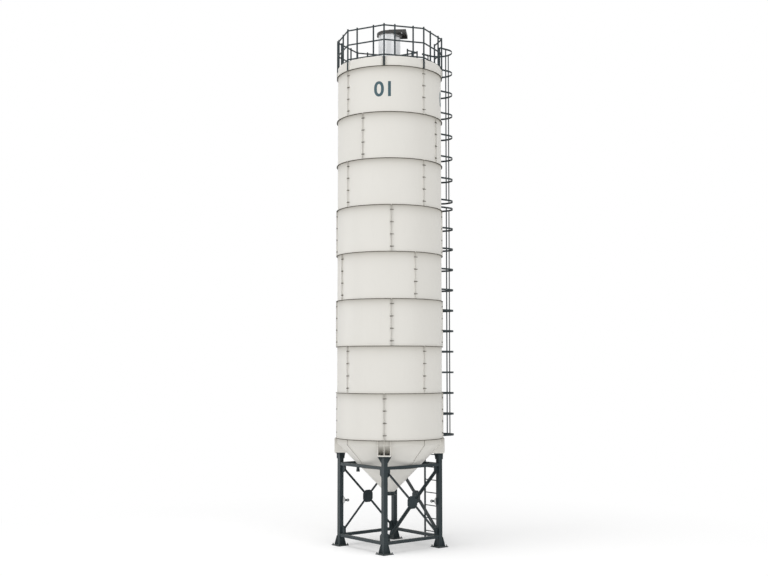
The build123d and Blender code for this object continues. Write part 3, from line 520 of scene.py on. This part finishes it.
def painted(name, paint, streaks=0.05, clouds=0.05, settled=0.0, roughness=0.5, peel=0.3, wave=0.0,
            specular=0.25, flange_shade=0.0):
    """Sprayed paint with weathering, surface height and, if asked for, painted shade below the ring joints
    and under the flanges.
    """
    material, tree, shader = new_material(name)
    groups = bpy.data.node_groups
    dust = bpy.context.scene.silo_colours.dust
    weather = node(tree, "ShaderNodeGroup", {"node_tree": groups["Weathered paint"]}, Paint=(*paint, 1),
                   Dust=(*dust, 1), Streaks=streaks, Clouds=clouds, Settled=settled, Roughness=roughness)
    height = node(tree, "ShaderNodeGroup", {"node_tree": groups["Paint surface"]}, Peel=peel, Wave=wave)
    bump = node(tree, "ShaderNodeBump", Strength=0.25, Distance=0.002, Height=height.outputs["Height"])
    colour = weather.outputs["Colour"]
    # Painted shade: the colour darkens below each ring joint and goes dark on the flanges' downward faces
    if flange_shade:
        masks = node(tree, "ShaderNodeGroup", {"node_tree": groups["Painted flange shade"]}).outputs
        colour = blend(tree, calc(tree, "MULTIPLY", masks["Mask"], flange_shade), colour, FLANGE_SHADE_TINT)
        # Downward flange faces take the painted underside shade
        colour = blend(tree, masks["Underside"], colour, UNDERSIDE_SHADE)
    tree.links.new(colour, shader.inputs["Base Color"])
    tree.links.new(weather.outputs["Roughness"], shader.inputs["Roughness"])
    tree.links.new(bump.outputs["Normal"], shader.inputs["Normal"])
    shader.inputs["Specular IOR Level"].default_value = specular
    return material


def brushed_steel(name, colour):
    """Stainless sheet, brushed round the housing."""
    material, tree, shader = new_material(name)
    where = node(tree, "ShaderNodeTexCoord").outputs["Object"]
    lines = node(tree, "ShaderNodeMapping", Vector=where, Scale=(3.0, 3.0, 900.0)).outputs[0]
    grain = node(tree, "ShaderNodeTexNoise", Vector=lines, Scale=1.0, Detail=3.0).outputs["Fac"]
    rough = node(tree, "ShaderNodeMapRange", Value=grain, To_Min=0.28, To_Max=0.42).outputs["Result"]
    bump = node(tree, "ShaderNodeBump", Strength=0.15, Distance=0.0005, Height=grain)
    tone = blend(tree, grain, (*[c * 0.94 for c in colour], 1), (*colour, 1))
    tree.links.new(tone, shader.inputs["Base Color"])
    tree.links.new(rough, shader.inputs["Roughness"])
    tree.links.new(bump.outputs["Normal"], shader.inputs["Normal"])
    shader.inputs["Metallic"].default_value = 1.0
    return material


class SILO_OT_finishes(bpy.types.Operator):
    """Makes the paints and metals and puts them on the frame's pieces"""
    bl_idname = "silo.finishes"
    bl_label = "Finishes"

    def execute(self, context):
        colours = context.scene.silo_colours
        weather_group()
        surface_group()
        flange_shade_group()
        # The sheet paint carries painted shade below the ring joints and under the flanges
        shell = painted("Sheet paint", colours.shell, streaks=0.10, settled=0.25, roughness=0.48, wave=0.6,
                        specular=0.19, flange_shade=0.42)
        dark = painted("Frame paint", colours.frame, streaks=0.03, clouds=0.01, settled=0.12, peel=0.4,
                       specular=0.22)
        painted("Joint seal", colours.seal, roughness=0.7, peel=0.2, specular=0.1)
        painted("Marking paint", colours.marking, streaks=0.10, roughness=0.45, specular=0.3)
        painted("Zinc plate", colours.zinc, streaks=0.1, clouds=0.3, settled=0.2, roughness=0.45, peel=0.2,
                specular=0.5)
        cone = painted("Fitting paint", colours.fitting, settled=0.1, roughness=0.45, specular=0.4)
        steel = brushed_steel("Stainless steel", colours.steel)
        hood = painted("Cap paint", colours.hood, streaks=0.03, clouds=0.02, settled=0.15)
        special = {**{name: shell for name in SHELL_NODES}, **{name: steel for name in STEEL_NODES},
                   **{name: cone for name in FITTING_NODES}, **{name: hood for name in HOOD_NODES}}
        if not special.keys() <= NODES.keys():
            raise RuntimeError("a node that needs its own material is not in the frame")
        for name, piece in NODES.items():
            material = special.get(name, dark)
            piece.data.materials.clear()
            piece.data.materials.append(material)
        return {"FINISHED"}


class SILO_OT_seam_bolts(bpy.types.Operator):
    """Bolts through the folded ribs of the upright seams"""
    bl_idname = "silo.seam_bolts"
    bl_label = "Seam bolts"

    def execute(self, context):
        sizes = context.scene.silo_sizes
        across = sizes.seam_bolt_across
        bolt = bolt_template(across, sizes.seam_bolt_grip, across * 0.7, across * 0.7, across * 1.3)
        bm = bmesh.new()
        place_r = SHELL_R + SHELL_FLANGE * SEAM_BOLT_OUT
        for k, first in enumerate(SEAM_ANGLES):
            for panel in range(PANELS):
                angle = first + panel * 360.0 / PANELS
                side = polar(1.0, angle + 90.0)
                pitch = (RING_TOP[k] - RING_Z[k] - 2 * SEAM_BOLT_END) / (sizes.seam_bolts - 1)
                for row in range(sizes.seam_bolts):
                    z = RING_TOP[k] - SEAM_BOLT_END - row * pitch
                    stamp(bm, bolt, aimed(polar(place_r, angle, z), side))
        finished("seam_bolts", bm, bpy.data.materials["Zinc plate"])
        discard(bolt)
        return {"FINISHED"}


class SILO_OT_seals(bpy.types.Operator):
    """Dark sealing strips in the ring joints, the seams and the hopper's joints"""
    bl_idname = "silo.seals"
    bl_label = "Joint seals"

    def execute(self, context):
        sizes = context.scene.silo_sizes
        half, width = sizes.seal_height / 2, sizes.seam_seal_width
        bm = bmesh.new()
        edge = SHELL_R + SHELL_FLANGE
        joints = [(TOP_Z, SEAM_ANGLES[0])] + [(RING_Z[k], SEAM_ANGLES[min(k + 1, RING_COUNT - 1)])
                                              for k in range(RING_COUNT)]
        gap = degrees(sizes.seal_gap / 2 / edge)
        for z, first in joints:
            for panel in range(PANELS):
                start = first + panel * 360.0 / PANELS
                arc_strip(bm, (edge - SEAL_SUNK, edge + SEAL_PROUD), (z - half, z + half), start + gap,
                          start + 360.0 / PANELS - gap)
        joint_edge = HOPPER_JOINT_R + HOPPER_RIB
        arc_strip(bm, (joint_edge - SEAL_SUNK, joint_edge + SEAL_PROUD),
                  (HOPPER_JOINT_Z - half * 0.7, HOPPER_JOINT_Z + half * 0.7), 0.0, 360.0)
        for k, first in enumerate(SEAM_ANGLES):
            for panel in range(PANELS):
                angle = first + panel * 360.0 / PANELS
                run = [(edge, RING_TOP[k] - 0.004), (edge, RING_Z[k] + 0.004)]
                seam_strip(bm, run, angle, width)
        slope = atan2(KNUCKLE_Z - HOPPER_JOINT_Z, SHELL_R - HOPPER_JOINT_R)
        side = HOPPER_RIB / sin(slope)
        run = [(SHELL_R + HOPPER_RIB, SHELL_Z - 0.006),
               (SHELL_R + HOPPER_RIB, KNUCKLE_Z - HOPPER_RIB * 0.41),
               (HOPPER_JOINT_R + side, HOPPER_JOINT_Z + 0.004)]
        for panel in range(PANELS):
            seam_strip(bm, run, panel * 360.0 / PANELS, width * 1.6)
        finished("joint_seals", bm, bpy.data.materials["Joint seal"])
        return {"FINISHED"}


class SILO_OT_frame_bolts(bpy.types.Operator):
    """Anchor nuts, bolts of the leg caps and bolts of the braces"""
    bl_idname = "silo.frame_bolts"
    bl_label = "Frame bolts"

    def execute(self, context):
        sizes = context.scene.silo_sizes
        wide, across = sizes.anchor_across, sizes.frame_bolt_across
        anchor = nut_template(wide, wide * 0.8, wide * 0.7)
        cap_bolt = bolt_template(wide, CAP_T + BRACKET_T, wide * 0.63, wide * 0.8, wide * 0.4)
        brace_bolt = bolt_template(across, PLATE_T + ANGLE_T, across * 0.63, across * 0.8, across * 0.3)
        head_down = Matrix.Rotation(pi, 4, "X")
        bm = bmesh.new()
        for k, (sx, sy) in enumerate(CORNERS):
            for ox in (-ANCHOR_OFFSET, ANCHOR_OFFSET):
                for oy in (-ANCHOR_OFFSET, ANCHOR_OFFSET):
                    stamp(bm, anchor, Matrix.Translation((sx * LEG_C + ox, sy * LEG_C + oy, BASE_T)))
            for along in CAP_BOLTS_ALONG:
                for side in CAP_BOLTS_ACROSS:
                    middle = Vector((LEG_AXIS_R + along, side, CAP_Z + (BRACKET_T - CAP_T) / 2))
                    stamp(bm, cap_bolt, turn_z(45.0 + 90.0 * k) @ Matrix.Translation(middle) @ head_down)
        for turn, end, inward, _ in brace_ends():
            for step in BRACE_BOLTS:
                place = end + inward * step
                place.y = -LEG_C - ANGLE_T / 2
                stamp(bm, brace_bolt, turn @ aimed(place, (0, 1, 0)))
        finished("frame_bolts", bm, bpy.data.materials["Frame paint"])
        discard(anchor, cap_bolt, brace_bolt)
        return {"FINISHED"}


class SILO_OT_ladder_bolts(bpy.types.Operator):
    """Bolts of the ladder's brackets, joints and cage, and of the fill pipe's tabs"""
    bl_idname = "silo.ladder_bolts"
    bl_label = "Ladder and pipe bolts"

    def execute(self, context):
        across = context.scene.silo_sizes.ladder_bolt_across
        bm = bmesh.new()
        self.cage(bm, across)
        self.joints(bm, across)
        self.splices(bm, across)
        finished("ladder_bolts", bm, bpy.data.materials["Zinc plate"])
        return {"FINISHED"}

    def cage(self, bm, across):
        """Bolts of the hoops on the cage's side bars, and nuts on its back bar."""
        bolt = bolt_template(across, 2 * HOOP_T, across * 0.5, across * 0.5, across * 0.3)
        nut = nut_template(across, across * 0.5, across * 0.3)
        for name, count in HOOPS:
            low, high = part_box(name)
            for k in range(count):
                z = low.z + HOOP_H / 2 + k * (high.z - low.z - HOOP_H) / (count - 1)
                for side in (-1, 1):
                    place = (LADDER_X + side * (CAGE_HALF - HOOP_T), CAGE_BAR_Y, z)
                    stamp(bm, bolt, aimed(place, (-side, 0, 0)))
                stamp(bm, nut, aimed((LADDER_X, CAGE_Y + CAGE_HALF - CAGE_NUT_IN, z), (0, -1, 0)))
        discard(bolt, nut)

    def joints(self, bm, across):
        """Bolts that hold the ladder's brackets and the pipe's tabs in the ring joints."""
        bolt = bolt_template(across, JOINT_BOLT_GRIP, across * 0.6, across * 0.7, across * 0.3)
        head_down = Matrix.Rotation(pi, 4, "X")
        for z in [SHELL_Z] + RING_TOP:
            for side in (-1, 1):
                x = LADDER_X + side * LADDER_HALF
                y = sqrt(LADDER_BOLT_R ** 2 - x * x)
                stamp(bm, bolt, Matrix.Translation((x, y, z + JOINT_BOLT_RISE)) @ head_down)
        for z in [SHELL_Z] + RING_TOP[-2::-2][:3]:
            middle = Matrix.Translation((PIPE_BOLT_R, 0, z + JOINT_BOLT_RISE))
            stamp(bm, bolt, turn_z(PIPE_ANGLE) @ middle @ head_down)
        discard(bolt)

    def splices(self, bm, across):
        """Splice plates of the ladder's two lengths, with their nuts."""
        nut, splice = nut_template(across, across * 0.6), slab_template(SPLICE)
        for side in (-1, 1):
            face = LADDER_X + side * (LADDER_HALF + STILE_W / 2)
            stamp(bm, splice, Matrix.Translation((face + side * SPLICE[0] / 2, LADDER_Y, LADDER_JOINT_Z)))
            for step in (-0.065, -0.03, 0.03, 0.065):
                place = (face + side * SPLICE[0], LADDER_Y, LADDER_JOINT_Z + step)
                stamp(bm, nut, aimed(place, (side, 0, 0)))
        discard(nut, splice)


class SILO_OT_roof_details(bpy.types.Operator):
    """Caps on the guard posts, and the filter's bands, latches and flange bolts"""
    bl_idname = "silo.roof_details"
    bl_label = "Roof details"

    def execute(self, context):
        self.post_caps()
        self.filter_fasteners(context.scene.silo_sizes.filter_bolts)
        return {"FINISHED"}

    def post_caps(self):
        """Rounded caps on the upper ends of the posts."""
        tops = post_tops()
        if len(tops) < FEWEST_POSTS:
            raise RuntimeError("the guard rail's posts were not found")
        pattern = bmesh.new()
        prism(pattern, 24, POST_CAP_R, 0.0, POST_CAP_H, POST_CAP_ROUND, rounds=4)
        cap = as_mesh(pattern, "cap")
        bm = bmesh.new()
        for top in tops:
            stamp(bm, cap, Matrix.Translation(top))
        finished("post_caps", bm, bpy.data.materials["Frame paint"])
        discard(cap)

    def filter_fasteners(self, count):
        """Bands, latches and flange bolts of the filter."""
        low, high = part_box("filter_body")
        bm = bmesh.new()
        for share in BAND_SHARES:
            z = low.z + share * (high.z - low.z)
            arc_strip(bm, (FILTER_R - 0.001, FILTER_R + 0.003), (z - 0.014, z + 0.014), 0.0, 360.0)
        latch = slab_template((0.010, 0.034, 0.09), 0.003)
        hook = slab_template((0.014, 0.050, 0.016), 0.003)
        for angle in LATCH_ANGLES:
            place = turn_z(angle) @ Matrix.Translation((FILTER_R + 0.004, 0, high.z - 0.075))
            stamp(bm, latch, place)
            stamp(bm, hook, place @ Matrix.Translation((0.004, 0, 0.055)))
        bolt = nut_template(0.017, 0.010)
        for k in range(count):
            place = polar(FILTER_R + 0.018, (k + 0.5) * 360.0 / count, low.z + FILTER_FLANGE_T)
            stamp(bm, bolt, Matrix.Translation(place))
        finished("filter_fasteners", bm, bpy.data.materials["Stainless steel"])
        discard(bolt, latch, hook)


class SILO_OT_welds(bpy.types.Operator):
    """Weld beads of the leg frame and the outlet"""
    bl_idname = "silo.welds"
    bl_label = "Weld beads"

    def execute(self, context):
        size = context.scene.silo_sizes.weld_radius
        slope = (HOPPER_JOINT_R - OUTLET_R) / (HOPPER_JOINT_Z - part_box("hopper_lower")[0].z)
        if not 0.5 < slope < 1.5:
            raise RuntimeError("the hopper's slope does not fit its outlet")
        bm = bmesh.new()
        self.legs(bm, size)
        for turn in (turn_z(90.0 * k) for k in range(4)):
            for sx in (-1, 1):
                self.beams(bm, turn, sx, size)
                self.corner_plates(bm, turn, sx, size * THIN_BEAD)
        self.braces(bm, size * THIN_BEAD)
        round_bead(bm, OUTLET_R, size, (0, 0, OUTLET_Z))
        finished("weld_beads", bm, bpy.data.materials["Frame paint"])
        return {"FINISHED"}

    def legs(self, bm, size):
        """Beads round the legs' ends and along the fins of their feet."""
        for sx, sy in CORNERS:
            leg = Vector((sx * LEG_C, sy * LEG_C, 0))
            for turn in range(4):
                side = turn_z(90.0 * turn)
                for z in (BASE_T, CAP_Z - CAP_T):
                    line = [leg + side @ Vector((LEG_FACE, reach, z)) for reach in (-LEG_FLAT, LEG_FLAT)]
                    bead(bm, *line, size)
                fin = turn_z(45.0 + 90.0 * turn)
                for edge in (-FIN_SIDE, FIN_SIDE):
                    root = leg + fin @ Vector((FIN_ROOT, edge, BASE_T))
                    bead(bm, root, leg + fin @ Vector((FIN_TOE, edge, BASE_T)), size * THIN_BEAD)
                    bead(bm, root, leg + fin @ Vector((FIN_ROOT, edge, FIN_TOP)), size * THIN_BEAD)

    def beams(self, bm, turn, sx, size):
        """Beads round one end of a side's two beams."""
        x = sx * (LEG_C - LEG_FACE)
        for z in BEAM_ZS:
            loop = [turn @ Vector((x, -BEAM_Y + a * BEAM / 2, z + BEAM / 2 + b * BEAM / 2))
                    for a, b in ((-1, -1), (1, -1), (1, 1), (-1, 1))]
            for start, end in zip(loop, loop[1:] + loop[:1]):
                bead(bm, start, end, size)

    def corner_plates(self, bm, turn, sx, size):
        """Beads of a side's corner plates on one leg and its beams."""
        reach = LEG_C - LEG_FACE
        for z, up in ((PLATE_ZS[0], 1), (PLATE_ZS[1], -1)):
            for y in (-LEG_C - PLATE_T / 2, -LEG_C + PLATE_T / 2):
                corner = turn @ Vector((sx * reach, y, z))
                bead(bm, corner, turn @ Vector((sx * reach, y, z + up * PLATE_H)), size)
                bead(bm, corner, turn @ Vector((sx * (reach - PLATE_W), y, z)), size)

    def braces(self, bm, size):
        """Beads where the brace bars meet their centre plates."""
        for turn, _, inward, centre in brace_ends():
            across = Vector((-inward.z, 0, inward.x)) * BRACE_BEAD
            start, edge = centre - inward * BRACE_START, centre - inward * BRACE_CONTACT
            start.y = edge.y = -LEG_C - PLATE_T / 2
            bead(bm, turn @ (start - across), turn @ (start + across), size)
            for side in (-BRACE_BEAD_SIDE, BRACE_BEAD_SIDE):
                bead(bm, turn @ (start + across * side), turn @ (edge + across * side), size)


class SILO_OT_numbers(bpy.types.Operator):
    """Plain number painted on the four panels of the top ring"""
    bl_idname = "silo.numbers"
    bl_label = "Numbers"

    def execute(self, context):
        height = context.scene.silo_sizes.number_height
        flat = self.lettering(context)
        ups = [v.co.y for v in flat.vertices]
        low, tall = min(ups), max(ups) - min(ups)
        if tall <= 0:
            raise RuntimeError("the number has no height")
        scale, radius = height / tall, SHELL_R + NUMBER_PROUD
        base = RING_Z[0] + 0.5 * RING_H - 0.5 * height
        # Upright cuts, with which the flat number can follow the round sheet
        cuts = [(k * tall / 14, 0, 0) for k in range(-24, 25)]
        bm = bmesh.new()
        for panel in range(PANELS):
            part = bmesh.new()
            part.from_mesh(flat)
            bmesh.ops.triangulate(part, faces=part.faces)
            for cut in cuts:
                bmesh.ops.bisect_plane(part, geom=part.verts[:] + part.edges[:] + part.faces[:], dist=1e-6,
                                       plane_co=cut, plane_no=(1, 0, 0))
            for v in part.verts:
                angle = NUMBER_ANGLE + panel * 360.0 / PANELS + degrees(v.co.x * scale / radius)
                v.co = polar(radius, angle, base + (v.co.y - low) * scale)
            wrapped = as_mesh(part, "wrapped")
            bm.from_mesh(wrapped)
            discard(wrapped)
        discard(flat)
        finished("panel_numbers", bm, bpy.data.materials["Marking paint"])
        return {"FINISHED"}

    def lettering(self, context):
        """Flat mesh of the number."""
        text = bpy.data.curves.new("number", "FONT")
        text.body = "01"
        text.align_x = "CENTER"
        text.offset = 0.02
        text.resolution_u = 6
        source = bpy.data.objects.new("number", text)
        context.scene.collection.objects.link(source)
        context.view_layer.update()
        flat = bpy.data.meshes.new_from_object(source)
        bpy.data.objects.remove(source)
        return flat


class SILO_OT_stage(bpy.types.Operator):
    """Pale floor, soft light and the camera"""
    bl_idname = "silo.stage"
    bl_label = "Stage"

    def execute(self, context):
        scene = context.scene
        self.floor(scene)
        self.light(scene)
        self.camera(scene)
        scene.view_settings.view_transform = "Standard"
        return {"FINISHED"}

    def floor(self, scene):
        """Round floor that keeps the silo's shadow and fades to white."""
        bm = bmesh.new()
        bmesh.ops.create_circle(bm, cap_ends=True, segments=96, radius=FLOOR_R)
        mesh = as_mesh(bm, "floor")
        floor = bpy.data.objects.new("floor", mesh)
        scene.collection.objects.link(floor)
        material = bpy.data.materials.new("Floor")
        material.use_nodes = True
        tree = material.node_tree
        tree.nodes.clear()
        where = node(tree, "ShaderNodeTexCoord").outputs["Object"]
        reach = node(tree, "ShaderNodeVectorMath", {"operation": "LENGTH"}, i0=where).outputs["Value"]
        far = ramp(tree, reach, *FLOOR_FADE)
        diffuse = node(tree, "ShaderNodeBsdfDiffuse", Color=(0.72, 0.72, 0.72, 1)).outputs[0]
        glow = node(tree, "ShaderNodeEmission", Color=(1, 1, 1, 1), Strength=0.33).outputs[0]
        white = node(tree, "ShaderNodeEmission", Color=(1, 1, 1, 1), Strength=1.0).outputs[0]
        shadowed = node(tree, "ShaderNodeAddShader", i0=diffuse, i1=glow).outputs[0]
        faded = node(tree, "ShaderNodeMixShader", i0=far, i1=shadowed, i2=white).outputs[0]
        node(tree, "ShaderNodeOutputMaterial", Surface=faded)
        mesh.materials.append(material)

    def seen_rays(self, tree):
        """1 for rays from the camera, reflections and clear glass, which see the background."""
        path = node(tree, "ShaderNodeLightPath").outputs
        first = calc(tree, "MAXIMUM", path["Is Camera Ray"], path["Is Glossy Ray"])
        return calc(tree, "MAXIMUM", first, path["Is Transmission Ray"])

    def light(self, scene):
        """Even sky and three large soft lamps, and a fourth that shows only in reflections."""
        world = bpy.data.worlds.new("World")
        world.use_nodes = True
        scene.world = world
        tree = world.node_tree
        back = tree.nodes["Background"]
        level = node(tree, "ShaderNodeMapRange", Value=self.seen_rays(tree), To_Min=0.35, To_Max=1.0)
        back.inputs["Color"].default_value = (1, 1, 1, 1)
        tree.links.new(level.outputs["Result"], back.inputs["Strength"])
        self.lamp(scene, "key", angle=-55.0, distance=30.0, height=10.0, size=(14.0, 18.0), power=2850.0)
        self.lamp(scene, "fill", angle=38.0, distance=30.0, height=9.0, size=(16.0, 16.0), power=2950.0)
        self.lamp(scene, "top", angle=-40.0, distance=6.0, height=40.0, size=(22.0, 22.0), power=9000.0)
        edge = self.lamp(scene, "edge", angle=-101.0, distance=30.0, height=6.0, size=(12.0, 16.0),
                         power=4200.0)
        edge.visible_diffuse = False

    def lamp(self, scene, name, angle, distance, height, size, power):
        """Area lamp that faces the silo; its angle is from the camera's direction, to the right."""
        lamp = bpy.data.lights.new(name, "AREA")
        lamp.shape = "RECTANGLE"
        lamp.size, lamp.size_y = size
        lamp.energy = power
        obj = bpy.data.objects.new(name, lamp)
        place = polar(distance, CAMERA_AZIMUTH - 90.0 + angle, height)
        obj.matrix_world = aimed(place, place - LAMP_AIM)
        scene.collection.objects.link(obj)
        return obj

    def camera(self, scene):
        """Camera at the photograph's place."""
        data = bpy.data.cameras.new("camera")
        data.sensor_width = SENSOR
        data.lens = FOCAL_PIXELS / IMAGE_SIZE[0] * SENSOR
        data.clip_end = 300.0
        camera = bpy.data.objects.new("camera", data)
        camera.location = polar(CAMERA_DISTANCE, CAMERA_AZIMUTH - 90.0, CAMERA_HEIGHT)
        camera.rotation_euler = (radians(90.0 + CAMERA_PITCH), 0.0, radians(CAMERA_AZIMUTH + CAMERA_YAW))
        scene.collection.objects.link(camera)
        scene.camera = camera


STEPS = [SILO_OT_finishes, SILO_OT_seals, SILO_OT_seam_bolts, SILO_OT_frame_bolts, SILO_OT_ladder_bolts,
         SILO_OT_roof_details, SILO_OT_welds, SILO_OT_numbers, SILO_OT_stage]


class SILO_PT_panel(bpy.types.Panel):
    """Lists the silo's sizes, colours and steps"""
    bl_idname = "SILO_PT_panel"
    bl_label = "Cement silo"
    bl_space_type = "VIEW_3D"
    bl_region_type = "UI"
    bl_category = "Silo"

    def draw(self, context):
        for group in (context.scene.silo_sizes, context.scene.silo_colours):
            for name in group.__annotations__:
                self.layout.prop(group, name)
        for step in STEPS:
            self.layout.operator(step.bl_idname)


CLASSES = [SiloColours, SiloSizes, *STEPS, SILO_PT_panel]


def register():
    """Registers the classes and their settings."""
    for item in CLASSES:
        bpy.utils.register_class(item)
    bpy.types.Scene.silo_colours = bpy.props.PointerProperty(type=SiloColours)
    bpy.types.Scene.silo_sizes = bpy.props.PointerProperty(type=SiloSizes)


def unregister():
    """Removes the settings and the classes."""
    del bpy.types.Scene.silo_sizes
    del bpy.types.Scene.silo_colours
    for item in reversed(CLASSES):
        bpy.utils.unregister_class(item)


def main():
    """Makes every piece."""
    register()
    for step in STEPS:
        group, name = step.bl_idname.split(".")
        getattr(getattr(bpy.ops, group), name)()


if __name__ == "__main__":
    main()
